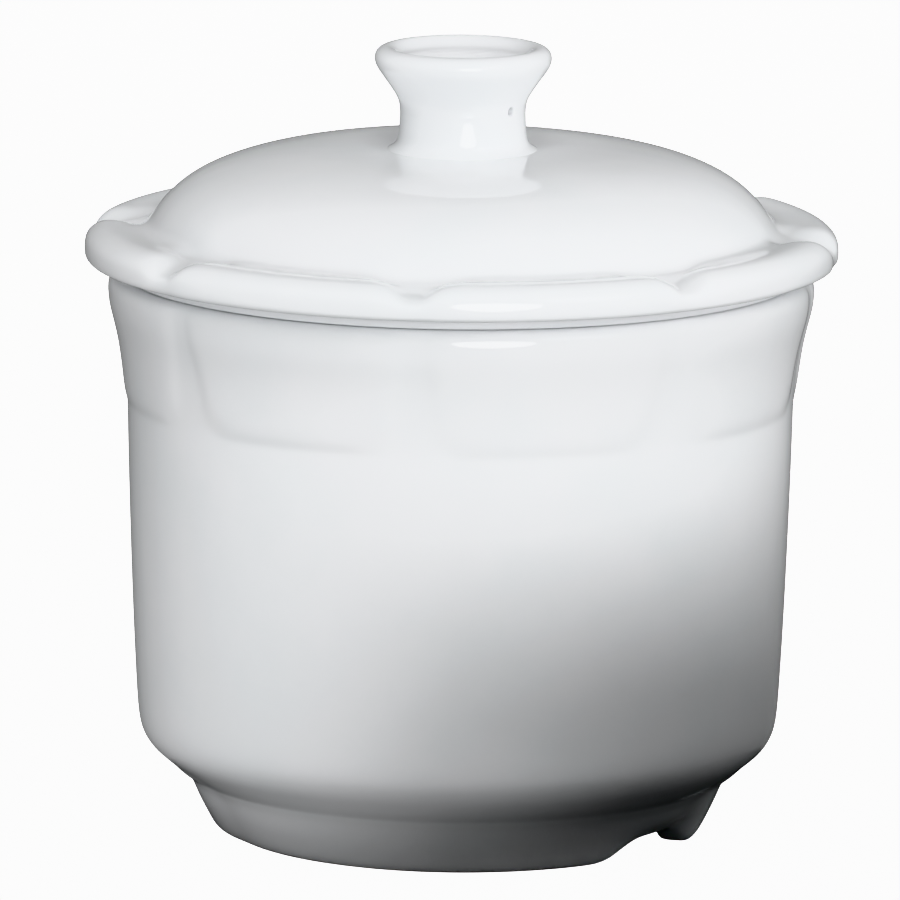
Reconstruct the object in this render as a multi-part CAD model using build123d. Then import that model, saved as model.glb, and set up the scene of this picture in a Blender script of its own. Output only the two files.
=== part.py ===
"""Covered sugar bowl in glazed porcelain: a footed bowl, a domed lid and the hollow knob luted on top of it.

The axis of the bowl is +Z, the foot ring stands on z = 0 and -Y is the front. Sizes are in millimetres.
"""

from build123d import *
from math import cos, hypot, radians, sin
import os

# Eight-panel relief shared by the bowl and the lid
PANELS = 8
PANEL_PITCH = 360 / PANELS
VALLEY_BEARING = -7.5  # the first valley, counted from the front, counter-clockwise seen from above

# Foot ring
FOOT_EDGE_R = 27.7  # outer edge of the flat that stands on the table
FOOT_INNER_R = 25.9  # inner edge of that flat
FOOT_OUTER_R = 28.9  # where the rounded foot edge meets the foot wall
FOOT_EDGE_H = 1.2
NECK_R = 32.1  # crease between the foot wall and the body
NECK_H = 7.0
RECESS_R = 24.6  # underside recess inside the foot ring
RECESS_H = 4.5

# Drain notches across the foot ring, which let water run off when the bowl is washed upside down
NOTCH_BEARING = 54.0
NOTCHES = 2
NOTCH_WIDTH = 13.0
NOTCH_DEPTH = 2.2
NOTCH_CORNER_R = 1.6

# Bowl wall
SHOULDER_R = 37.0  # end of the sloping underside of the body
SHOULDER_H = 10.3
WALL_FOOT_R = 39.1
WALL_FOOT_H = 14.0
WALL_MID_R = 40.0
WALL_MID_H = 30.0
WALL_TOP_R = 40.6
WALL_TOP_H = 51.0
LIP_R = 42.8  # lip in the valleys between the panels
LIP_FOOT_H = 65.0
FLARE_END_LEAN = (0.25, 1)  # direction in which the flare runs into the lip
RIM_H = 69.2
RIM_ROUND = 1.0
RIM_INNER_R = 39.6
INSIDE_TOP_R = 37.1  # inside of the wall, below the flare
INSIDE_TOP_H = 56.0
INSIDE_LOW_R = 35.8
INSIDE_LOW_H = 18.5
INSIDE_LEAN = (-0.05, -1)  # direction of the inside of the wall, downwards
FLOOR_R = 26.5
FLOOR_H = 9.2

# Raised panels round the top of the bowl
BOWL_PANEL_H = 54.2  # lower edge
BOWL_PANEL_RISE = 0.4
BOWL_PANEL_ARC = 37.0
BOWL_PANEL_CORNER_R = 4.0
BOWL_PANEL_FOOT_LEAN = (0.1, 1)  # direction of the panel's face at its lower edge
BOWL_PANEL_TOP_LEAN = (0.22, 1)  # and where it runs into the lip

# Lid
LID_R = 46.0  # over the panels
VALLEY_RIM_R = 45.7  # rim of the flange in the valleys between the panels
VALLEY_RIM_H = 72.6
LID_BELLY_R = 45.4  # on the rounded lower edge of the flange
LID_BELLY_H = 71.4
LID_UNDER_R = 44.6
LID_UNDER_H = 70.7
SEAT_INNER_R = 38.9
SEAT_OUTER_R = 42.3
CREASE_R = 38.6  # crease between the dome and the flange
CREASE_H = 74.3
VALLEY_OUT_R = 44.2
VALLEY_OUT_H = 73.7
DOME_TOP_H = 84.4
DOME_LAND_R = 9.9  # flat on which the knob stands
DOME_ROUND_SHARE = 0.68  # share of the dome's fall that is its round crown; the rest is its steep foot
DOME_ROUND_POWER = 3
DOME_FOOT_POWER = 12
DOME_RADII = (16, 22, 28, 32, 35, 36.7, 37.8)  # where the dome's curve is pinned
HOLLOW_TOP_H = 80.7
HOLLOW_POINTS = ((32, 76.1), (26, 78.8), (15, 80.3))

# Skirt that drops into the mouth of the bowl and keeps the lid central
SKIRT_R = 37.4
SKIRT_INNER_R = 34.4
SKIRT_H = 64.4
SKIRT_DRAFT = 0.2
SKIRT_END_ROUND = 1.0  # height of the rounded end of the skirt
HOLLOW_LEAN = (-0.1, 1)  # direction in which the hollow leaves the skirt
SKIRT_ROOT = 1.5  # height of the chamfer between the seat and the skirt
HOLLOW_FOOT_H = 72.2

# Raised panels round the flange of the lid
LID_PANEL_ARC = 38.5
LID_PANEL_INNER_R = 38.9
LID_PANEL_INNER_H = 74.75
LID_PANEL_CREST_R = 42.6
LID_PANEL_CREST_H = 75.1
LID_PANEL_BROW_R = 45.2
LID_PANEL_BROW_H = 74.3
LID_PANEL_WIDEST_H = 72.9
LID_PANEL_END_H = 71.9
LID_PANEL_ROOT = 1.0  # how far a panel is sunk into the flange
LID_PANEL_CORNER_R = 2.5

# Knob
KNOB_BASE_R = 9.4
KNOB_BASE_EDGE = 0.15  # height of the edge of the base
KNOB_BASE_LEAN = (-1, 0.25)  # direction in which the base sweeps up into the stem
KNOB_STEM_R = 7.7
KNOB_STEM_LOW_H = 86.3
KNOB_STEM_TOP_H = 89.4
KNOB_FLARE_R = 9.3  # on the flare between the stem and the widest point
KNOB_FLARE_H = 92.6
KNOB_R = 10.9
KNOB_WIDEST_H = 95.2
KNOB_CREST_R = 9.0
KNOB_TOP_H = 97.0
DISH_R = 7.0  # on the dish, inside its rounded edge
DISH_EDGE_H = 95.9
DISH_H = 95.5
KNOB_BORE_R = 4.6
KNOB_BORE_TOP_H = 91.4
VENT_R = 0.45
VENT_H = 89.8
VENT_BEARING = 45.0


def around(bearing):
    """Rotation about +Z that takes the +X side to a bearing counted from the front."""
    return Rot(0, 0, bearing - 90)


def turned(outline, arc=360.0):
    """Solid of revolution about +Z of a closed outline drawn in the XZ plane, centred on +X."""
    face = make_face(Plane.XZ * outline)
    return Rot(0, 0, -arc / 2) * revolve(face, Axis.Z, arc)


def foot_outline():
    """Foot ring and neck, from the recess out to the crease under the body."""
    recess_edge = (RECESS_R, RECESS_H)
    inner_edge = (FOOT_INNER_R, 0)
    stand = Line(inner_edge, (FOOT_EDGE_R, 0))
    edge = TangentArc((FOOT_EDGE_R, 0), (FOOT_OUTER_R, FOOT_EDGE_H), tangent=(1, 0))
    wall = Line(edge @ 1, (NECK_R, NECK_H))
    recess = Line(recess_edge, inner_edge)
    return [recess, stand, edge, wall]


def bowl_outer_wall():
    """Outside of the bowl from the crease above the foot to the top of the rim."""
    underside = Line((NECK_R, NECK_H), (SHOULDER_R, SHOULDER_H))
    shoulder = TangentArc((SHOULDER_R, SHOULDER_H), (WALL_FOOT_R, WALL_FOOT_H), tangent=underside % 1)
    wall = ThreePointArc((WALL_FOOT_R, WALL_FOOT_H), (WALL_MID_R, WALL_MID_H), (WALL_TOP_R, WALL_TOP_H))
    flare = Spline(wall @ 1, (LIP_R, LIP_FOOT_H), tangents=[wall % 1, FLARE_END_LEAN])
    lip = Line((LIP_R, LIP_FOOT_H), (LIP_R, RIM_H - RIM_ROUND))
    rounding = TangentArc(lip @ 1, (LIP_R - RIM_ROUND, RIM_H), tangent=(0, 1))
    return [underside, shoulder, wall, flare, lip, rounding]


def bowl_inside():
    """Inside of the bowl from the top of the rim down to the middle of the floor."""
    rim = Line((LIP_R - RIM_ROUND, RIM_H), (RIM_INNER_R + RIM_ROUND, RIM_H))
    rounding = TangentArc(rim @ 1, (RIM_INNER_R, RIM_H - RIM_ROUND), tangent=(-1, 0))
    flare = Spline(rounding @ 1, (INSIDE_TOP_R, INSIDE_TOP_H), tangents=[(0, -1), INSIDE_LEAN])
    wall = Line((INSIDE_TOP_R, INSIDE_TOP_H), (INSIDE_LOW_R, INSIDE_LOW_H))
    corner = TangentArc(wall @ 1, (FLOOR_R, FLOOR_H), tangent=wall % 1)
    floor = Line((FLOOR_R, FLOOR_H), (0, FLOOR_H))
    return [rim, rounding, flare, wall, corner, floor]


def bowl_panel():
    """One raised panel of the bowl, standing proud of the wall from the panel edge up to the rim."""
    rise = BOWL_PANEL_RISE
    low = Line((WALL_TOP_R - rise, BOWL_PANEL_H), (WALL_TOP_R + rise, BOWL_PANEL_H))
    face = Spline(low @ 1, (LIP_R + rise, LIP_FOOT_H), tangents=[BOWL_PANEL_FOOT_LEAN, BOWL_PANEL_TOP_LEAN])
    lip = Line(face @ 1, (LIP_R + rise, RIM_H - RIM_ROUND))
    top = Line(lip @ 1, (LIP_R - RIM_ROUND, RIM_H - rise))
    back = Line(top @ 1, low @ 0)
    panel = turned(Curve() + [low, face, lip, top, back], BOWL_PANEL_ARC)
    bottom = panel.faces().sort_by(Axis.Z)[0]
    corners = bottom.edges().filter_by(GeomType.LINE)
    return fillet(corners, BOWL_PANEL_CORNER_R)


def drain_notch():
    """Block with rounded corners that cuts one shallow notch across the foot ring."""
    length = 2 * (NECK_R - FOOT_INNER_R)
    block = Box(length, NOTCH_WIDTH, 2 * NOTCH_DEPTH)
    upper = block.faces().sort_by(Axis.Z)[-1].edges().filter_by(Axis.X)
    return Pos(FOOT_INNER_R + length / 4, 0, 0) * fillet(upper, NOTCH_CORNER_R)


def make_bowl():
    """Footed bowl with its raised panels and drain notches."""
    underside = [Line((0, FLOOR_H), (0, RECESS_H)), Line((0, RECESS_H), (RECESS_R, RECESS_H))]
    outline = Curve() + underside + foot_outline() + bowl_outer_wall() + bowl_inside()
    bowl = turned(outline)
    panel = bowl_panel()
    for k in range(PANELS):
        bowl += around(VALLEY_BEARING + (k + 0.5) * PANEL_PITCH) * panel
    notch = drain_notch()
    for k in range(NOTCHES):
        bowl -= around(NOTCH_BEARING + k * 360 / NOTCHES) * notch
    return bowl


def dome_top(radius):
    """Height of the outside of the dome at a radius: a round crown that turns down steeply at its foot."""
    reach = (radius - DOME_LAND_R) / (CREASE_R - DOME_LAND_R)
    fall = DOME_ROUND_SHARE * reach**DOME_ROUND_POWER + (1 - DOME_ROUND_SHARE) * reach**DOME_FOOT_POWER
    return DOME_TOP_H - (DOME_TOP_H - CREASE_H) * fall


def lid_outside():
    """Crown, dome, flange valley and rounded rim of the lid."""
    crown = Line((0, DOME_TOP_H), (DOME_LAND_R, DOME_TOP_H))
    dome_points = [(radius, dome_top(radius)) for radius in DOME_RADII]
    dome = Spline(crown @ 1, *dome_points, (CREASE_R, CREASE_H))
    valley = Line(dome @ 1, (VALLEY_OUT_R, VALLEY_OUT_H))
    edge_top = TangentArc(valley @ 1, (VALLEY_RIM_R, VALLEY_RIM_H), tangent=valley % 1)
    edge_low = ThreePointArc(edge_top @ 1, (LID_BELLY_R, LID_BELLY_H), (LID_UNDER_R, LID_UNDER_H))
    return [crown, dome, valley, edge_top, edge_low]


def lid_underside():
    """Seat, locating skirt and hollow of the lid."""
    drip = Line((LID_UNDER_R, LID_UNDER_H), (SEAT_OUTER_R, RIM_H))
    seat = Line(drip @ 1, (SEAT_INNER_R, RIM_H))
    skirt_low = SKIRT_H + SKIRT_END_ROUND
    skirt_out = Polyline(seat @ 1, (SKIRT_R, RIM_H - SKIRT_ROOT), (SKIRT_R - SKIRT_DRAFT, skirt_low))
    skirt_middle = (SKIRT_R + SKIRT_INNER_R) / 2
    skirt_end = ThreePointArc(skirt_out @ 1, (skirt_middle, SKIRT_H), (SKIRT_INNER_R, skirt_low))
    skirt_in = Line(skirt_end @ 1, (SKIRT_INNER_R - SKIRT_DRAFT, HOLLOW_FOOT_H))
    hollow = Spline(skirt_in @ 1, *HOLLOW_POINTS, (0, HOLLOW_TOP_H), tangents=[HOLLOW_LEAN, (-1, 0)])
    middle = Line((0, HOLLOW_TOP_H), (0, DOME_TOP_H))
    return [drip, seat, skirt_out, skirt_end, skirt_in, hollow, middle]


def lid_panel():
    """One raised panel of the flange, crowned between the crease and the edge of the lid."""
    inner_wall = Line(
        (LID_PANEL_INNER_R, LID_PANEL_INNER_H - LID_PANEL_ROOT), (LID_PANEL_INNER_R, LID_PANEL_INNER_H)
    )
    crest = (LID_PANEL_CREST_R, LID_PANEL_CREST_H)
    crown = ThreePointArc(inner_wall @ 1, crest, (LID_PANEL_BROW_R, LID_PANEL_BROW_H))
    brow = TangentArc(crown @ 1, (LID_R, LID_PANEL_WIDEST_H), tangent=crown % 1)
    side = Line(brow @ 1, (VALLEY_RIM_R, LID_PANEL_END_H))
    root = Polyline(side @ 1, (VALLEY_OUT_R - LID_PANEL_ROOT, LID_PANEL_END_H), inner_wall @ 0)
    panel = turned(Curve() + [inner_wall, crown, brow, side, root], LID_PANEL_ARC)
    corners = panel.edges().filter_by(Axis.Z).filter_by(lambda edge: radius_of(edge) < CREASE_R + 1)
    return fillet(corners, LID_PANEL_CORNER_R)


def radius_of(shape):
    """Distance of a shape's middle from the axis of the bowl."""
    middle = shape.center()
    return hypot(middle.X, middle.Y)


def make_lid_cover():
    """Domed lid with its raised flange panels, seat and locating skirt."""
    cover = turned(Curve() + lid_outside() + lid_underside())
    panel = lid_panel()
    for k in range(PANELS):
        cover += around(VALLEY_BEARING + (k + 0.5) * PANEL_PITCH) * panel
    return cover


def make_lid_knob():
    """Trumpet-shaped hollow knob with a dished top and the vent of its inner cavity."""
    base = Line((KNOB_BORE_R, DOME_TOP_H), (KNOB_BASE_R, DOME_TOP_H))
    foot = Line(base @ 1, (KNOB_BASE_R, DOME_TOP_H + KNOB_BASE_EDGE))
    fillet_curve = Spline(foot @ 1, (KNOB_STEM_R, KNOB_STEM_LOW_H), tangents=[KNOB_BASE_LEAN, (0, 1)])
    stem = Line((KNOB_STEM_R, KNOB_STEM_LOW_H), (KNOB_STEM_R, KNOB_STEM_TOP_H))
    flare = (KNOB_FLARE_R, KNOB_FLARE_H)
    trumpet = Spline(stem @ 1, flare, (KNOB_R, KNOB_WIDEST_H), tangents=[(0, 1), (0, 1)])
    lip = Spline(trumpet @ 1, (KNOB_CREST_R, KNOB_TOP_H), tangents=[(0, 1), (-1, 0)])
    dish = Spline(lip @ 1, (DISH_R, DISH_EDGE_H), (0, DISH_H), tangents=[(-1, 0), (-1, 0)])
    web = Line((0, DISH_H), (0, KNOB_BORE_TOP_H))
    bore = Polyline((0, KNOB_BORE_TOP_H), (KNOB_BORE_R, KNOB_BORE_TOP_H), (KNOB_BORE_R, DOME_TOP_H))
    knob = turned(Curve() + [base, foot, fillet_curve, stem, trumpet, lip, dish, web, bore])
    bearing = radians(VENT_BEARING)
    outward = (sin(bearing), -cos(bearing), 0)
    vent_plane = Plane(origin=(0, 0, VENT_H), z_dir=outward)
    return knob - extrude(vent_plane * Circle(VENT_R), 2 * KNOB_STEM_R)


def main():
    """Build the three pieces and write each as its own STEP file."""
    os.makedirs("parts", exist_ok=True)
    pieces = {"bowl": make_bowl(), "lid_cover": make_lid_cover(), "lid_knob": make_lid_knob()}
    for name, piece in pieces.items():
        export_step(piece, f"parts/{name}.step")


main()
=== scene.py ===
"""Covered sugar bowl in glossy white porcelain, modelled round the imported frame.

The bowl and the lid are turned from cage outlines, given their relief on one of eight panel pitches, copied
round the axis and smoothed by subdivision. The knob is turned whole. Outlines are in millimetres, as the
radius and the height above the foot.
"""

import logging
import math
from dataclasses import dataclass, field
from enum import Enum
from typing import Callable

import bmesh
import bpy
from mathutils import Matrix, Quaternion, Vector


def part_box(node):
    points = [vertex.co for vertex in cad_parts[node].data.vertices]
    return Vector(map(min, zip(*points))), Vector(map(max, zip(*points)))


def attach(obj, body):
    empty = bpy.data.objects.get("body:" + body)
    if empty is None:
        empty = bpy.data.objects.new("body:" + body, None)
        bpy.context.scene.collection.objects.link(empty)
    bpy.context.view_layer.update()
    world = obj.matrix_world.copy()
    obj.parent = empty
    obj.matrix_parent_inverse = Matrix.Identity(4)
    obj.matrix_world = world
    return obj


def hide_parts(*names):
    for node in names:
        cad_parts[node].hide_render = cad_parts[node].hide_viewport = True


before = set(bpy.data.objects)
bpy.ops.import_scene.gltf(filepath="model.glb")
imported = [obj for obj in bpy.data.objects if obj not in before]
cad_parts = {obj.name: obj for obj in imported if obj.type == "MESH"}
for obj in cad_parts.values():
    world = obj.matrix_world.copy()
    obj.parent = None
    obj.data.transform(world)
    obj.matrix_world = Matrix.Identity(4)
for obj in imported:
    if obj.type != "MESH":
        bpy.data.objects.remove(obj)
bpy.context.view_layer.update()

logging.basicConfig(level=logging.INFO, format="%(message)s")
log = logging.getLogger("sugar_bowl")

MM = 0.001
PANELS = 8
PITCH = 360 / PANELS
COLUMNS = (3.5, 2.2, 3.3, 4.5, 6, 6, 6, 4.5, 3.3, 2.2, 3.5)  # widths across one panel pitch, in degrees
FIRST_VALLEY = -97.5  # from +X, counter-clockwise seen from above
VALLEY_FOOT = PITCH / 2 - COLUMNS[0]  # from the middle of a panel to where its side starts to rise
PANEL_SIDE = VALLEY_FOOT - COLUMNS[1]  # from the middle of a panel to the top of its side
PANEL_CORNER = PANEL_SIDE - COLUMNS[2]  # from the middle of a panel to where its rounded corner starts
COLUMN_SLACK = 0.5  # degrees by which a pick between two columns clears them
SEAM_GAP = 0.01  # millimetres within which the vertices of a seam are one
SMOOTHING = 2  # levels of subdivision on a finished cage
RIM_SWELL = 0.04  # millimetres that smoothing takes off the rim of the flange
GLOW_EDGE = -0.3  # cosine of the angle from its middle at which a glow ends
SENSOR = 36  # width of the camera's sensor, in millimetres

Point = tuple[float, float]
Outline = list[Point]


def arc(centre: tuple[float, float], radius: float, start: float, end: float, steps: int) -> Outline:
    """Points of a round stretch of an outline.

    Args:
        centre: Radius and height of the arc's centre, in millimetres.
        radius: Radius of the arc itself, in millimetres.
        start: Angle of the first point, in degrees from outward, counter-clockwise.
        end: Angle of the last point, in degrees.
        steps: Number of stretches between the first and the last point.

    Returns:
        The points, the first and the last among them.
    """
    angles = [math.radians(start + (end - start) * k / steps) for k in range(steps + 1)]
    return [(centre[0] + radius * math.cos(a), centre[1] + radius * math.sin(a)) for a in angles]


class Element(Enum):
    """What a pick in edit mode selects."""

    VERTEX = "VERT"
    FACE = "FACE"


@dataclass(frozen=True)
class Spot:
    """Place of a vertex or a face, as the picks see it.

    Args:
        radius: Distance from the axis, in millimetres.
        height: Height above the foot, in millimetres.
        bearing: Angle about the axis from the middle of the panel, in degrees.
    """

    radius: float
    height: float
    bearing: float

    def near(self, point: Point, reach: float = 0.06) -> bool:
        """Whether the spot lies on the ring through a point of the outline."""
        return math.hypot(self.radius - point[0], self.height - point[1]) < reach

    def within(self, half_width: float) -> bool:
        """Whether the spot lies within some degrees of the middle."""
        return abs(self.bearing) < half_width + 0.1


Test = Callable[[Spot], bool]


class Workpiece:
    """A mesh object held in edit mode while it is shaped."""

    def __init__(self, piece: bpy.types.Object, middle: float = 0) -> None:
        """Takes hold of a piece.

        Args:
            piece: The mesh object to shape.
            middle: Bearing from +X that the picks count from, in degrees.
        """
        self.piece = piece
        self.middle = middle

    def __enter__(self) -> "Workpiece":
        """Makes the piece the only selected one and enters edit mode.

        Returns:
            The piece, ready to shape.
        """
        take(self.piece)
        bpy.ops.object.mode_set(mode="EDIT")
        return self

    def __exit__(self, *_: object) -> None:
        """Leaves edit mode."""
        bpy.ops.object.mode_set(mode="OBJECT")

    def spot(self, place: Vector) -> Spot:
        """Describes a place on the piece in turned terms."""
        turned = math.degrees(math.atan2(place.y, place.x)) - self.middle
        return Spot(math.hypot(place.x, place.y) / MM, place.z / MM, (turned + 180) % 360 - 180)

    def pick(self, element: Element, test: Test) -> None:
        """Selects what passes a test and nothing else.

        Args:
            element: Whether vertices or faces are picked.
            test: Says whether the vertex or face at a spot is wanted.
        """
        bpy.ops.mesh.select_mode(type=element.value)
        bpy.ops.mesh.select_all(action="DESELECT")
        mesh = bmesh.from_edit_mesh(self.piece.data)
        items = mesh.faces if element is Element.FACE else mesh.verts
        for item in items:
            place = item.calc_center_median() if element is Element.FACE else item.co
            item.select_set(test(self.spot(place)))
        mesh.select_flush_mode()
        bmesh.update_edit_mesh(self.piece.data)

    def pick_all(self) -> None:
        """Selects the whole piece."""
        bpy.ops.mesh.select_mode(type=Element.VERTEX.value)
        bpy.ops.mesh.select_all(action="SELECT")

    def reshape(self, test: Test, grow: float = 1, lift: float = 0) -> None:
        """Moves vertices away from the axis and up.

        Args:
            test: Says which vertices move.
            grow: Factor on their distance from the axis.
            lift: How far they rise, in millimetres.
        """
        self.pick(Element.VERTEX, test)
        bpy.ops.transform.resize(value=(grow, grow, 1), center_override=(0, 0, 0))
        bpy.ops.transform.translate(value=(0, 0, lift * MM))

    def press(self, test: Test, factor: float, level: float) -> None:
        """Scales the height of vertices over a level, in millimetres, by a factor."""
        self.pick(Element.VERTEX, test)
        bpy.ops.transform.resize(value=(1, 1, factor), center_override=(0, 0, level * MM))

    def swivel(self, test: Test, angle: float) -> None:
        """Turns vertices about the axis by an angle in degrees, counter-clockwise seen from above."""
        self.pick(Element.VERTEX, test)
        bpy.ops.transform.rotate(value=-math.radians(angle), orient_axis="Z", center_override=(0, 0, 0))

    def part_sides(self, rings: list[tuple[Point, float]]) -> None:
        """Turns the sides of a panel outwards, ring by ring, so that the valleys beside it narrow.

        Args:
            rings: Point of each ring in the valley, and how far its panel sides turn, in degrees.
        """
        inner, outer = PANEL_CORNER + COLUMN_SLACK, VALLEY_FOOT + COLUMN_SLACK
        for point, angle in rings:
            for side in (-1, 1):

                def on_side(spot: Spot) -> bool:
                    """Whether a vertex of this ring belongs to this side of the panel."""
                    return spot.near(point) and inner < side * spot.bearing < outer

                self.swivel(on_side, side * angle)

    def close(self) -> None:
        """Merges the doubled vertices of seams and poles and turns all faces outwards."""
        self.pick_all()
        bpy.ops.mesh.remove_doubles(threshold=SEAM_GAP * MM)
        bpy.ops.mesh.normals_make_consistent(inside=False)


def take(*pieces: bpy.types.Object) -> None:
    """Selects objects alone and makes the first one active.

    Args:
        pieces: The objects to select.
    """
    bpy.ops.object.select_all(action="DESELECT")
    for piece in pieces:
        piece.select_set(True)
    bpy.context.view_layer.objects.active = pieces[0]


def turn(name: str, outline: Outline, columns: tuple[float, ...]) -> bpy.types.Object:
    """Turns an outline about the axis, counter-clockwise from +X.

    Args:
        name: Name of the new piece.
        outline: Radii and heights along the outline, in millimetres.
        columns: Width of each column of faces, in degrees.

    Returns:
        The turned shell.
    """
    radius, height = outline[0]
    bpy.ops.mesh.primitive_plane_add(size=MM, location=(radius * MM, 0, height * MM))
    piece = bpy.context.active_object
    piece.name = name
    take(piece)
    bpy.ops.object.transform_apply(location=True, rotation=True, scale=True)
    with Workpiece(piece) as work:
        work.pick_all()
        bpy.ops.mesh.merge(type="CENTER")
        for (r0, z0), (r1, z1) in zip(outline, outline[1:]):
            step = ((r1 - r0) * MM, 0, (z1 - z0) * MM)
            bpy.ops.mesh.extrude_region_move(TRANSFORM_OT_translate={"value": step})
        work.pick_all()
        for width in columns:
            bpy.ops.mesh.spin(steps=1, angle=math.radians(width), center=(0, 0, 0), axis=(0, 0, -1))
        work.close()
    return piece


def ring_of(pitch: bpy.types.Object) -> bpy.types.Object:
    """Copies one panel pitch round the axis and joins the copies into a closed piece.

    Args:
        pitch: The modelled pitch, one eighth of the piece, starting on the +X side.

    Returns:
        The whole piece.
    """
    copies = [pitch]
    for _ in range(PANELS - 1):
        take(pitch)
        bpy.ops.object.duplicate()
        copies.append(bpy.context.active_object)
    for number, copy in enumerate(copies):
        copy.rotation_euler = (0, 0, math.radians(FIRST_VALLEY + number * PITCH))
    take(*copies)
    bpy.ops.object.transform_apply(location=False, rotation=True, scale=False)
    bpy.ops.object.join()
    with Workpiece(pitch) as work:
        work.close()
    return pitch


def smooth(piece: bpy.types.Object) -> None:
    """Subdivides a finished cage and shades it smooth.

    Args:
        piece: The cage, which becomes the finished surface.
    """
    take(piece)
    modifier = piece.modifiers.new("Rounding", "SUBSURF")
    modifier.levels = modifier.render_levels = SMOOTHING
    bpy.ops.object.modifier_apply(modifier=modifier.name)
    bpy.ops.object.shade_smooth()


@dataclass
class Bowl:
    """The footed bowl with its raised panels and drain notches.

    Args:
        rim: Height of the rim, in millimetres.
        recess: Height of the recess inside the foot ring.
        floor: Height of the floor inside.
        neck: Radius and height of the crease over the foot.
        lip: Radius of the lip in the valleys between the panels.
        panel_low: Height of the lower edge of the panels.
        panel_rise: How far the panels stand proud of the wall.
        ring_inside: Radius just inside the foot ring.
        flat_middle: Radius on the flat of the foot ring outside which the toe swells.
        notch_bearings: Where the drain notches are, in degrees from +X.
        notch_roof: Height over which the notches leave the foot as it is.
        notch_end: Where a notch ends steeply, in degrees from its middle.
        notch_steps: Where each step of its gentle side starts, and how far it presses the foot together.
        toe_steps: Start and end of each stretch beside the steep end where the foot swells out, the height it
            swells up to, and the factor on its radius.
    """

    rim: float
    recess: float = 4.5
    floor: float = 9.2
    neck: Point = (32.5, 7.2)
    lip: float = 42.8
    panel_low: float = 54.2
    panel_rise: float = 0.38
    ring_inside: float = 24.9
    flat_middle: float = 26.6
    notch_bearings: tuple[float, ...] = (-33, 147)
    notch_roof: float = 4.4
    notch_end: float = 12.5
    notch_steps: tuple[tuple[float, float], ...] = ((-17, 0.93), (-14.5, 0.88), (-11, 0.78), (-7, 0.72))
    toe_steps: tuple[tuple[float, float, float, float], ...] = (
        (12.5, 54, 8.3, 1.014),
        (12.5, 48, 6.3, 1.014),
        (12.5, 42, 4.6, 1.010),
        (12.5, 38, 2.6, 1.006),
    )

    def underside(self) -> Outline:
        """Recess, foot ring and foot wall, from the middle outwards.

        Returns:
            The points of the outline, in order.
        """
        level = self.recess
        recess = [(0, level), (8, level), (16, level), (22.6, level)]
        corner = [(24.2, level - 0.1), (24.75, level - 0.6), (25.1, 2.6), (25.4, 1.2)]
        flat = [(25.75, 0.25), (26.3, 0), (26.9, 0), (27.4, 0), (28.1, 0.2), (28.65, 0.85)]
        wall = [(29.2, 1.9), (30.45, 4.15), (31.45, 5.9), (self.neck[0] - 0.15, self.neck[1] - 0.35)]
        return recess + corner + flat + wall

    def wall(self) -> Outline:
        """Wall from the crease over the foot up to the panels.

        Returns:
            The points of the outline, in order.
        """
        r, z = self.neck
        crease = [(r + 0.25, z + 0.12), (r + 1.5, z + 0.95)]
        shoulder = [(35.7, 9.4), (37.5, 10.75), (38.7, 12.4), (39.15, 14.6)]
        wall = [(39.4, 18.5), (39.8, 26), (40.15, 35), (40.45, 44), (40.6, 50), (40.66, self.panel_low - 1.6)]
        return crease + shoulder + wall + [(40.68, self.panel_low - 0.7)]

    def panel_rings(self) -> list[tuple[Point, float, float]]:
        """Rings of the panels, from the bottom up.

        Returns:
            For each ring its point, its share of the panel's rise, and the turn of its sides in degrees.
        """
        low, lip, top = self.panel_low, self.lip, self.rim
        flare = [((40.75, low + 0.35), 0.8, 0), ((40.9, low + 2.4), 1, 0.2), ((41.2, low + 4.9), 1, 0.6)]
        neck = [((41.6, 61.4), 1, 1), ((42.1, 63.4), 1, 1.4), ((42.6, 65.2), 0.95, 1.7)]
        edge = [((lip, 66.7), 0.9, 1.8), ((lip, top - 1.3), 0.9, 1.8), ((lip - 0.3, top - 0.35), 0.7, 1.8)]
        return flare + neck + edge

    def mouth(self) -> Outline:
        """Rim and inside of the flare.

        Returns:
            The points of the outline, in order.
        """
        rim = [(self.lip - 1.0, self.rim), (self.lip - 1.7, self.rim), (self.lip - 2.4, self.rim - 0.05)]
        return rim + [(39.7, 68.4), (39.3, 67), (38.7, 64.2), (37.8, 60), (37.2, 56)]

    def inside(self) -> Outline:
        """Inner wall, rounded corner and floor, down to the middle.

        Returns:
            The points of the outline, in order.
        """
        wall = [(36.95, 50), (36.65, 40), (36.25, 28), (35.85, 19.5)]
        corner = arc((26.6, 18.3), 9.15, -12, -78, 4)
        return wall + corner + [(25, self.floor), (16, self.floor), (8, self.floor), (0, self.floor)]

    def raise_panel(self, work: Workpiece) -> None:
        """Lifts the panel off the wall, with rounded lower corners and valleys that narrow towards the rim.

        Args:
            work: The pitch being shaped.
        """
        rings = self.panel_rings()
        for number, (point, share, _) in enumerate(rings):
            half_width = PANEL_SIDE if number else PANEL_CORNER
            grow = 1 + share * self.panel_rise / point[0]
            work.reshape(lambda spot: spot.near(point) and spot.within(half_width), grow)
        for point, share, angle in rings:
            raised = (point[0] + share * self.panel_rise, point[1])
            work.part_sides([(point, angle), (raised, angle)])

    def cut_notches(self, piece: bpy.types.Object) -> None:
        """Presses the foot ring up where the drain notches cross it, and swells the toe beside each.

        Args:
            piece: The whole bowl.
        """
        for bearing in self.notch_bearings:
            with Workpiece(piece, bearing) as work:
                for start, factor in self.notch_steps:
                    work.press(
                        lambda spot: spot.height < self.notch_roof
                        and spot.radius > self.ring_inside
                        and start < spot.bearing < self.notch_end,
                        factor,
                        self.notch_roof,
                    )
                for start, end, top, factor in self.toe_steps:
                    work.reshape(
                        lambda spot: spot.height < top
                        and spot.radius > self.flat_middle
                        and start < spot.bearing < end,
                        factor,
                    )

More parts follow.
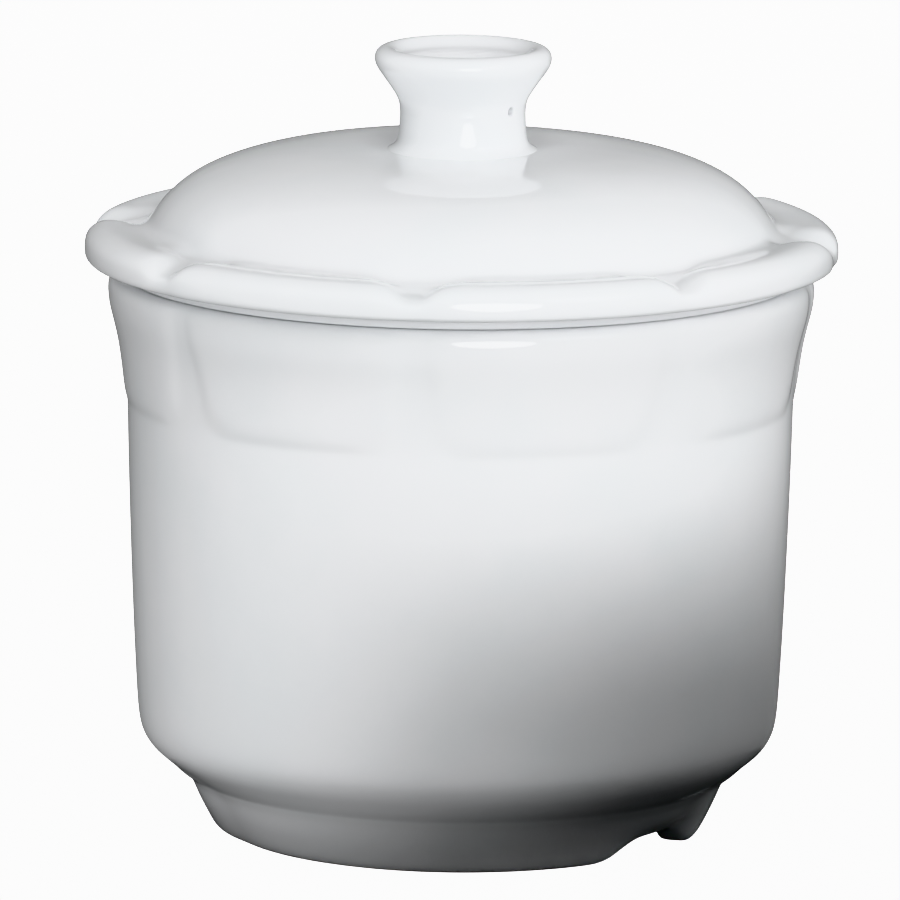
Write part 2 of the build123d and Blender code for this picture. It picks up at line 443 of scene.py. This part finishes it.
    def model(self) -> bpy.types.Object:
        """Builds the bowl.

        Returns:
            The finished piece.
        """
        panel = [point for point, _, _ in self.panel_rings()]
        outline = self.underside() + self.wall() + panel + self.mouth() + self.inside()
        piece = turn("sugar_bowl", outline, COLUMNS)
        with Workpiece(piece, PITCH / 2) as work:
            self.raise_panel(work)
        piece = ring_of(piece)
        self.cut_notches(piece)
        smooth(piece)
        return piece


@dataclass
class Lid:
    """The domed lid with its raised flange panels, seat and skirt.

    Args:
        seat: Height of the rim that the lid rests on, in millimetres.
        radius: Radius of the flange over the panels.
        skirt_low: Height of the lower edge of the skirt.
        crown: Height of the flat under the knob.
        land: Radius of that flat.
        crease: Radius and height of the crease between dome and flange.
        round_share: Share of the dome's fall that is its round crown.
        round_power: How flat the top of the dome is.
        foot_power: How sharply the foot of the dome turns down.
        valley_step: How far the flange's rim stands back in the valleys.
    """

    seat: float
    radius: float
    skirt_low: float
    crown: float = 84.4
    land: float = 9.9
    crease: Point = (38.6, 74.3)
    round_share: float = 0.68
    round_power: float = 3
    foot_power: float = 12
    valley_step: float = 0.3

    def dome(self, radius: float) -> Point:
        """Point of the outside of the dome.

        Args:
            radius: Distance from the axis, in millimetres.

        Returns:
            That radius and the dome's height there.
        """
        reach = (radius - self.land) / (self.crease[0] - self.land)
        fall = self.round_share * reach**self.round_power + (1 - self.round_share) * reach**self.foot_power
        return radius, self.crown - (self.crown - self.crease[1]) * fall

    def outside(self) -> Outline:
        """Crown and dome, down to the flange.

        Returns:
            The points of the outline, in order.
        """
        dome = [self.dome(radius) for radius in (13, 17, 21, 25, 28.5, 31.5, 34, 36, 37.3, 38.05)]
        return [(0, self.crown), (5, self.crown), (9, self.crown)] + dome

    def flange_rings(self) -> list[tuple[Point, Point, float]]:
        """Rings of the flange, outwards and round its rim.

        Returns:
            For each ring its point in the valley, its point on the panel, and its sides' turn in degrees.
        """
        rim = self.radius + RIM_SWELL
        back = rim - self.valley_step
        top = [((38.75, 74.55), (38.75, 75.0), 0), ((39.8, 74.2), (39.7, 74.85), 0)]
        step = [((41, 74.05), (41, 74.93), 0.3)]
        crest = [((42.4, 73.85), (42.5, 75.1), 1), ((43.7, 73.55), (43.9, 75.05), 1.5)]
        brow = [((44.75, 73.2), (45.1, 74.5), 1.7), ((back - 0.2, 72.75), (rim - 0.2, 73.6), 1.7)]
        belly = [((back, 72.2), (rim, 72.7), 1.7), ((back, 71.45), (rim, 71.5), 1.7)]
        under = [((back - 0.2, 70.85), (rim - 0.2, 70.85), 1.7)]
        return top + step + crest + brow + belly + under

    def underside(self) -> Outline:
        """Underside of the flange, seat, skirt and hollow, in to the middle.

        Returns:
            The points of the outline, in order.
        """
        low = self.skirt_low
        flange = [(44.9, 70.75), (43.7, 70.85), (42.7, 70.6), (42.1, self.seat + 0.3)]
        seat = [(41.6, self.seat), (40.2, self.seat), (39.1, self.seat), (38.2, self.seat - 0.35)]
        skirt = [(37.55, 68.0), (37.35, 66.6), (37.25, low + 1.0), (36.9, low + 0.2), (35.9, low - 0.02)]
        inner = [(34.9, low + 0.2), (34.45, low + 1.0), (34.3, 68.5), (34.2, 71.5), (33.6, 73.9)]
        hollow = [(32.0, 76.0), (29.3, 77.6), (25.5, 78.9), (20, 79.7), (13, 80.4), (6, 80.7), (0, 80.7)]
        return flange + seat + skirt + inner + hollow

    def raise_panel(self, work: Workpiece) -> None:
        """Crowns the panel over the valleys, which run out from the dome as narrowing tongues.

        Args:
            work: The pitch being shaped.
        """
        rings = self.flange_rings()
        for number, (valley, panel, _) in enumerate(rings):
            half_width = PANEL_SIDE if number > 1 else PANEL_CORNER
            grow, lift = panel[0] / valley[0], panel[1] - valley[1]
            work.reshape(lambda spot: spot.near(valley) and spot.within(half_width), grow, lift)
        for valley, panel, angle in rings:
            work.part_sides([(valley, angle), (panel, angle)])

    def model(self) -> bpy.types.Object:
        """Builds the lid.

        Returns:
            The finished piece.
        """
        flange = [valley for valley, _, _ in self.flange_rings()]
        piece = turn("domed_lid", self.outside() + flange + self.underside(), COLUMNS)
        with Workpiece(piece, PITCH / 2) as work:
            self.raise_panel(work)
        piece = ring_of(piece)
        smooth(piece)
        return piece


@dataclass
class Knob:
    """The hollow trumpet knob with its dished top and vent.

    Args:
        foot: Height of the lid's crown that the knob stands on, in millimetres.
        top: Height of the knob's crest.
        radius: Largest radius, at the lip of the trumpet.
        stem: Radius of the stem.
        bore: Radius of the cavity inside.
        vent_bearing: Where the vent is, in degrees from +X.
        vent_height: Height of the vent.
        vent_inset: How far the vent's edge lies inside its face of the cage.
        columns: Faces round the knob.
    """

    foot: float
    top: float
    radius: float
    stem: float = 7.7
    bore: float = 4.6
    vent_bearing: float = -45.0
    vent_height: float = 89.8
    vent_inset: float = 0.07
    columns: int = 40

    def outline(self) -> Outline:
        """Closed outline from the top of the cavity round to the middle of the dish.

        Returns:
            The points of the outline, in order.
        """
        foot, bore_r, stem_r, top = self.foot, self.bore, self.stem, self.top
        bore = [(0, 91.4), (2.4, 91.4), (4.0, 91.3), (bore_r, 90.7), (bore_r, 89.5), (bore_r, 86.5)]
        base = [(bore_r, 84.6), (5.0, foot - 0.1), (7.2, foot - 0.1), (8.6, foot - 0.15)]
        luting = [(9.4, foot - 0.12), (9.0, foot + 0.1), (8.4, foot + 0.45), (8.0, foot + 1.0)]
        stem = [(7.8, foot + 2.0), (stem_r, 88.6), (stem_r, 89.1), (stem_r + 0.12, 90.4)]
        trumpet = [(8.4, 91.4), (9.15, 92.5), (9.95, 93.6), (10.6, 94.5), (self.radius + 0.02, 95.4)]
        lip = [(self.radius - 0.1, 96.25), (10.2, top - 0.15), (9.3, top + 0.06), (8.6, top - 0.15)]
        dish = [(8.1, 96.3), (7.6, 95.75), (6.4, 95.5), (3.5, 95.4), (0, 95.4)]
        return bore + base + luting + stem + trumpet + lip + dish

    def pierce(self, work: Workpiece) -> None:
        """Cuts the vent from the stem through to the cavity.

        Args:
            work: The knob being shaped, whose picks count from the vent.
        """
        half_column, half_row, margin = 180 / self.columns - 1, 0.6, 0.5
        work.pick(
            Element.FACE,
            lambda spot: spot.within(half_column)
            and abs(spot.height - self.vent_height) < half_row
            and self.bore - margin < spot.radius < self.stem + margin,
        )
        bpy.ops.mesh.inset(thickness=self.vent_inset * MM, use_individual=True)
        bpy.ops.mesh.bridge_edge_loops()

    def model(self) -> bpy.types.Object:
        """Builds the knob.

        Returns:
            The finished piece.
        """
        width = 360 / self.columns
        piece = turn("lid_knob_turned", self.outline(), (width,) * self.columns)
        with Workpiece(piece, (math.floor(self.vent_bearing / width) + 0.5) * width) as work:
            self.pierce(work)
            work.close()
        smooth(piece)
        return piece


class Value:
    """A number socket of a shader, which Python operators build Math nodes on."""

    def __init__(self, tree: bpy.types.NodeTree, socket: bpy.types.NodeSocket) -> None:
        """Wraps a socket of a node tree."""
        self.tree = tree
        self.socket = socket

    def combine(self, operation: str, first: object, second: object) -> "Value":
        """Adds a Math node.

        Args:
            operation: Name of the node's operation.
            first: Value or number for its first input.
            second: Value or number for its second input.

        Returns:
            The node's result.
        """
        node = self.tree.nodes.new("ShaderNodeMath")
        node.operation = operation
        for slot, value in zip(node.inputs, (first, second)):
            if isinstance(value, Value):
                self.tree.links.new(value.socket, slot)
            else:
                slot.default_value = value
        return Value(self.tree, node.outputs[0])

    def __add__(self, other: object) -> "Value":
        """Sum."""
        return self.combine("ADD", self, other)

    def __sub__(self, other: object) -> "Value":
        """Difference."""
        return self.combine("SUBTRACT", self, other)

    def __rsub__(self, other: object) -> "Value":
        """Difference from a number."""
        return self.combine("SUBTRACT", other, self)

    def __mul__(self, other: object) -> "Value":
        """Product."""
        return self.combine("MULTIPLY", self, other)

    __radd__ = __add__
    __rmul__ = __mul__


class Shader:
    """A material under construction."""

    def __init__(self, name: str) -> None:
        """Starts a material with a bare Principled surface.

        Args:
            name: Name of the material.
        """
        self.material = bpy.data.materials.new(name)
        self.material.use_nodes = True
        self.tree = self.material.node_tree
        self.surface = self.tree.nodes["Principled BSDF"]

    def node(self, kind: str, settings: dict | None = None, **inputs: object) -> bpy.types.Node:
        """Adds a node.

        Args:
            kind: Type of the node.
            settings: Properties that are set before its sockets.
            inputs: Values, wrapped values or sockets for its inputs, named with underscores for spaces.

        Returns:
            The new node.
        """
        made = self.tree.nodes.new(kind)
        for key, value in (settings or {}).items():
            setattr(made, key, value)
        for key, value in inputs.items():
            slot = made.inputs[key.replace("_", " ")]
            if isinstance(value, Value):
                value = value.socket
            if isinstance(value, bpy.types.NodeSocket):
                self.tree.links.new(value, slot)
            else:
                slot.default_value = value
        return made

    def value(self, node: bpy.types.Node, output: str) -> Value:
        """Wraps a number output of a node."""
        return Value(self.tree, node.outputs[output])

    def step(self, value: Value, low: float, high: float) -> Value:
        """Smooth rise from 0 to 1.

        Args:
            value: What the rise follows.
            low: Value where it starts.
            high: Value where it ends.

        Returns:
            The rise.
        """
        settings = {"interpolation_type": "SMOOTHSTEP"}
        made = self.node("ShaderNodeMapRange", settings, Value=value, From_Min=low, From_Max=high)
        return self.value(made, "Result")

    def blend(self, share: Value, first: object, second: object) -> bpy.types.NodeSocket:
        """Mixes two colours.

        Args:
            share: Share of the second colour.
            first: Colour, or socket of one.
            second: Colour, or socket of one.

        Returns:
            The socket of the mixed colour.
        """
        mix = self.node("ShaderNodeMix", {"data_type": "RGBA"})
        self.tree.links.new(share.socket, mix.inputs["Factor"])
        for slot, colour in ((mix.inputs[6], first), (mix.inputs[7], second)):
            if isinstance(colour, bpy.types.NodeSocket):
                self.tree.links.new(colour, slot)
            else:
                slot.default_value = (*colour, 1)
        return mix.outputs[2]


@dataclass(frozen=True)
class PorcelainGlaze:
    """White porcelain under a clear gloss glaze, bare where the foot ring is ground.

    Args:
        white: Colour of the glazed body.
        pooled: Colour where the glaze runs a little thicker.
        bare: Colour of the unglazed ground foot.
        roughness: Roughness of the fired glaze.
        bare_roughness: Roughness of the ground foot.
        ripple: Height of the slow waves in the glaze, in metres.
        peel: Height of its fine orange peel, in metres.
        grit: Height of the grain of the ground foot, in metres.
        unevenness: How much the roughness of the glaze varies.
        scales: Scales of the clouds, the waves and the grain.
        details: Their levels of detail.
        clouding: Range of the clouds over which the glaze goes from thin to pooled.
        ground_line: Heights between which the ground foot gives way to glaze, in metres.
        bump: Strength of the relief.
        index: Index of refraction of the glaze.
    """

    white: tuple[float, float, float] = (0.80, 0.81, 0.825)
    pooled: tuple[float, float, float] = (0.765, 0.785, 0.80)
    bare: tuple[float, float, float] = (0.70, 0.67, 0.62)
    roughness: float = 0.035
    bare_roughness: float = 0.75
    ripple: float = 0.00003
    peel: float = 0.000004
    grit: float = 0.00002
    unevenness: float = 0.02
    scales: tuple[float, float, float] = (55, 130, 1900)
    details: tuple[float, float, float] = (3, 1, 2)
    clouding: tuple[float, float] = (0.35, 0.75)
    ground_line: tuple[float, float] = (0.00012, 0.00045)
    bump: float = 0.6
    index: float = 1.55

    def dress(self, piece: bpy.types.Object) -> None:
        """Gives a piece its own material in this finish.

        Args:
            piece: The piece to dress.
        """
        shader = Shader(f"{piece.name}_glaze")
        place = shader.node("ShaderNodeTexCoord").outputs["Object"]
        height = shader.value(shader.node("ShaderNodeSeparateXYZ", Vector=place), "Z")
        layers = [
            shader.value(shader.node("ShaderNodeTexNoise", Vector=place, Scale=scale, Detail=detail), "Fac")
            for scale, detail in zip(self.scales, self.details)
        ]
        cloud, waves, grain = layers
        ground = 1 - shader.step(height, *self.ground_line)
        body = shader.blend(shader.step(cloud, *self.clouding), self.white, self.pooled)
        colour = shader.blend(ground, body, self.bare)
        finish = self.roughness + cloud * self.unevenness + ground * (self.bare_roughness - self.roughness)
        relief = waves * self.ripple + grain * self.peel + ground * grain * self.grit
        bump = shader.node("ShaderNodeBump", Height=relief, Distance=1.0, Strength=self.bump)
        shader.tree.links.new(colour, shader.surface.inputs["Base Color"])
        shader.tree.links.new(finish.socket, shader.surface.inputs["Roughness"])
        shader.tree.links.new(bump.outputs["Normal"], shader.surface.inputs["Normal"])
        shader.surface.inputs["IOR"].default_value = self.index
        piece.data.materials.clear()
        piece.data.materials.append(shader.material)


@dataclass(frozen=True)
class Lamp:
    """A soft round light that faces the middle of the bowl.

    Args:
        name: Name of the light.
        bearing: Side that it shines from, in degrees from the front, positive to the right.
        elevation: Height over the horizon, in degrees.
        power: Power in watts.
        mirrored: Whether the glaze mirrors it.
        distance: Distance from what it faces, in metres.
        size: Diameter, in metres.
        aim: Point that it faces, in millimetres.
    """

    name: str
    bearing: float
    elevation: float
    power: float
    mirrored: bool = False
    distance: float = 1.2
    size: float = 0.6
    aim: tuple[float, float, float] = (0, 0, 45)


@dataclass(frozen=True)
class Glow:
    """A broad bright side of the surroundings.

    Args:
        lean: Direction in which it is brightest.
        strength: Its strength in that direction.
    """

    lean: tuple[float, float, float]
    strength: float


@dataclass
class Studio:
    """Floor, lights and camera.

    Args:
        target: Point that the camera looks at, in metres.
        elevation: Height of the camera over the horizon, in degrees.
        distance: Distance from the camera to the target, in metres.
        width: Width of what the camera sees at the target, in metres.
        roll: Turn of the camera about its line of sight, in degrees.
        reach: How far the camera sees, in metres.
        floor_size: Side of the floor, in metres.
        floor_grey: Grey of the floor.
        floor_glow: How bright the floor looks of itself.
        board_grey: Grey of the dark boards.
        shade: Radius of the dark disc under the foot, and where it lies, in millimetres.
        flag: Bearing of the dark board at the right, its distance, its width and its height.
        glows: Bright sides of the surroundings.
        lamps: The lights.
    """

    target: Vector = field(default_factory=lambda: Vector((-0.0012, 0, 0.04704)))
    elevation: float = 10.4
    distance: float = 2.0
    width: float = 0.10996
    roll: float = -0.5
    reach: float = 20
    floor_size: float = 8
    floor_grey: float = 0.2
    floor_glow: float = 2.5
    board_grey: float = 0.02
    shade: tuple[float, float, float] = (50, 6, 0)
    flag: tuple[float, float, float, float] = (40, 85, 160, 46)
    glows: tuple[Glow, ...] = (Glow((0, -1, 0.1), 0.31), Glow((0, 1, 0.1), 0.16), Glow((0, 0, 1), 0.04))
    lamps: tuple[Lamp, ...] = (
        Lamp("front_softbox", 10, 8, 7.9, mirrored=True),
        Lamp("left_softbox", -25, 8, 1.1),
        Lamp("right_softbox", 40, 30, 1.7, mirrored=True),
        Lamp("top_softbox", 0, 60, 6.3),
        Lamp("right_side_fill", 75, 8, 6.15),
        Lamp("right_back_fill", 110, 8, 1.9),
        Lamp("left_low_fill", -60, -20, 3.5),
        Lamp("left_back_fill", -100, 30, 3.5),
        Lamp("back_softbox", 180, 15, 13.4),
    )

    def build_floor(self) -> None:
        """Plain pale floor that lights nothing but the camera's view."""
        bpy.ops.mesh.primitive_plane_add(size=self.floor_size, location=(0, 0, 0))
        floor = bpy.context.active_object
        floor.name = "floor"
        shader = Shader("pale_floor")
        shader.surface.inputs["Base Color"].default_value = (*(self.floor_grey,) * 3, 1)
        shader.surface.inputs["Roughness"].default_value = 0.9
        shader.surface.inputs["Emission Color"].default_value = (1, 1, 1, 1)
        shader.surface.inputs["Emission Strength"].default_value = self.floor_glow
        floor.data.materials.append(shader.material)
        floor.visible_diffuse = False
        floor.visible_glossy = False
        floor.visible_shadow = False

    def build_flags(self) -> None:
        """Dark boards, unseen themselves, that keep light off the foot and off the right of the wall."""
        shader = Shader("black_board")
        shader.surface.inputs["Base Color"].default_value = (*(self.board_grey,) * 3, 1)
        shader.surface.inputs["Roughness"].default_value = 1
        radius, x, y = self.shade
        place = (x * MM, y * MM, -MM)
        bpy.ops.mesh.primitive_circle_add(vertices=64, radius=radius * MM, location=place, fill_type="NGON")
        shade = bpy.context.active_object
        shade.name = "foot_shade"
        bearing, distance, width, height = self.flag
        side = math.radians(bearing)
        bpy.ops.mesh.primitive_plane_add(size=1, rotation=(math.pi / 2, 0, side))
        flag = bpy.context.active_object
        flag.name = "right_flag"
        flag.scale = (width * MM, height * MM, 1)
        flag.location = Vector((math.sin(side) * distance, -math.cos(side) * distance, height / 2)) * MM
        for board in (shade, flag):
            board.data.materials.append(shader.material)
            board.visible_camera = False

    def build_light(self, light: Lamp) -> None:
        """Adds one soft round light.

        Args:
            light: What the light is and where it stands.
        """
        side, rise = math.radians(light.bearing), math.radians(light.elevation)
        away = Vector((math.sin(side) * math.cos(rise), -math.cos(side) * math.cos(rise), math.sin(rise)))
        data = bpy.data.lights.new(light.name, "AREA")
        data.shape = "DISK"
        data.size = light.size
        data.energy = light.power
        lamp = bpy.data.objects.new(light.name, data)
        bpy.context.scene.collection.objects.link(lamp)
        lamp.location = Vector(light.aim) * MM + away * light.distance
        lamp.rotation_euler = away.to_track_quat("Z", "Y").to_euler()
        lamp.visible_glossy = light.mirrored
        lamp.visible_camera = False

    def build_world(self) -> None:
        """Pale surroundings that glow in front and behind and are dim below."""
        world = bpy.data.worlds.new("surroundings")
        bpy.context.scene.world = world
        world.use_nodes = True
        tree = world.node_tree
        direction = tree.nodes.new("ShaderNodeTexCoord")
        shares = []
        for glow in self.glows:
            lean = tree.nodes.new("ShaderNodeVectorMath")
            lean.operation = "DOT_PRODUCT"
            lean.inputs[1].default_value = Vector(glow.lean).normalized()
            fade = tree.nodes.new("ShaderNodeMapRange")
            fade.interpolation_type = "SMOOTHSTEP"
            fade.inputs["From Min"].default_value = GLOW_EDGE
            fade.inputs["From Max"].default_value = 1.0
            fade.inputs["To Max"].default_value = glow.strength
            tree.links.new(direction.outputs["Generated"], lean.inputs[0])
            tree.links.new(lean.outputs["Value"], fade.inputs["Value"])
            shares.append(Value(tree, fade.outputs["Result"]))
        strength = sum(shares[1:], shares[0])
        tree.nodes["Background"].inputs["Color"].default_value = (1, 1, 1, 1)
        tree.links.new(strength.socket, tree.nodes["Background"].inputs["Strength"])

    def build_camera(self) -> None:
        """Places the camera at the object's front, a little above it."""
        rise = math.radians(self.elevation)
        back = Vector((0, -math.cos(rise), math.sin(rise)))
        data = bpy.data.cameras.new("camera")
        camera = bpy.data.objects.new("camera", data)
        bpy.context.scene.collection.objects.link(camera)
        camera.location = self.target + back * self.distance
        roll = Quaternion(back, math.radians(-self.roll))
        camera.rotation_mode = "QUATERNION"
        camera.rotation_quaternion = roll @ (-back).to_track_quat("-Z", "Y")
        data.sensor_width = SENSOR
        data.lens = SENSOR * self.distance / self.width
        data.clip_end = self.reach
        bpy.context.scene.camera = camera

    def build(self) -> None:
        """Builds the whole studio."""
        self.build_camera()
        self.build_floor()
        self.build_flags()
        self.build_world()
        for lamp in self.lamps:
            self.build_light(lamp)
        bpy.context.scene.view_settings.view_transform = "Khronos PBR Neutral"


def measured(node: str) -> tuple[Vector, Vector]:
    """Lowest and highest corners of a CAD node, in millimetres."""
    low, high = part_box(node)
    return Vector(low) / MM, Vector(high) / MM


def place(piece: bpy.types.Object, body: str, node: str, slot: str) -> None:
    """Sets a finished piece in the frame.

    Args:
        piece: The finished piece.
        body: Body that it moves with.
        node: CAD node that it stands for.
        slot: Not used.
    """
    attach(piece, body)
    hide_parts(node)
    log.info("%s: %d faces, rides on %s, replaces %s", piece.name, len(piece.data.polygons), body, node)


def main() -> None:
    """Builds the studio and the three pieces of the sugar bowl."""
    Studio().build()
    _, bowl_high = measured("bowl")
    cover_low, cover_high = measured("lid_cover")
    _, knob_high = measured("lid_knob")
    glaze = PorcelainGlaze()

    bowl = Bowl(rim=bowl_high.z).model()
    lid = Lid(seat=bowl_high.z, radius=cover_high.x, skirt_low=cover_low.z).model()
    knob = Knob(foot=cover_high.z, top=knob_high.z, radius=knob_high.x).model()

    place(bowl, "bowl", "bowl", "bowl_glaze")
    place(lid, "lid", "lid_cover", "lid_glaze")
    place(knob, "lid", "lid_knob", "lid_glaze")
    for piece in (bowl, lid, knob):
        glaze.dress(piece)


if __name__ == "__main__":
    main()
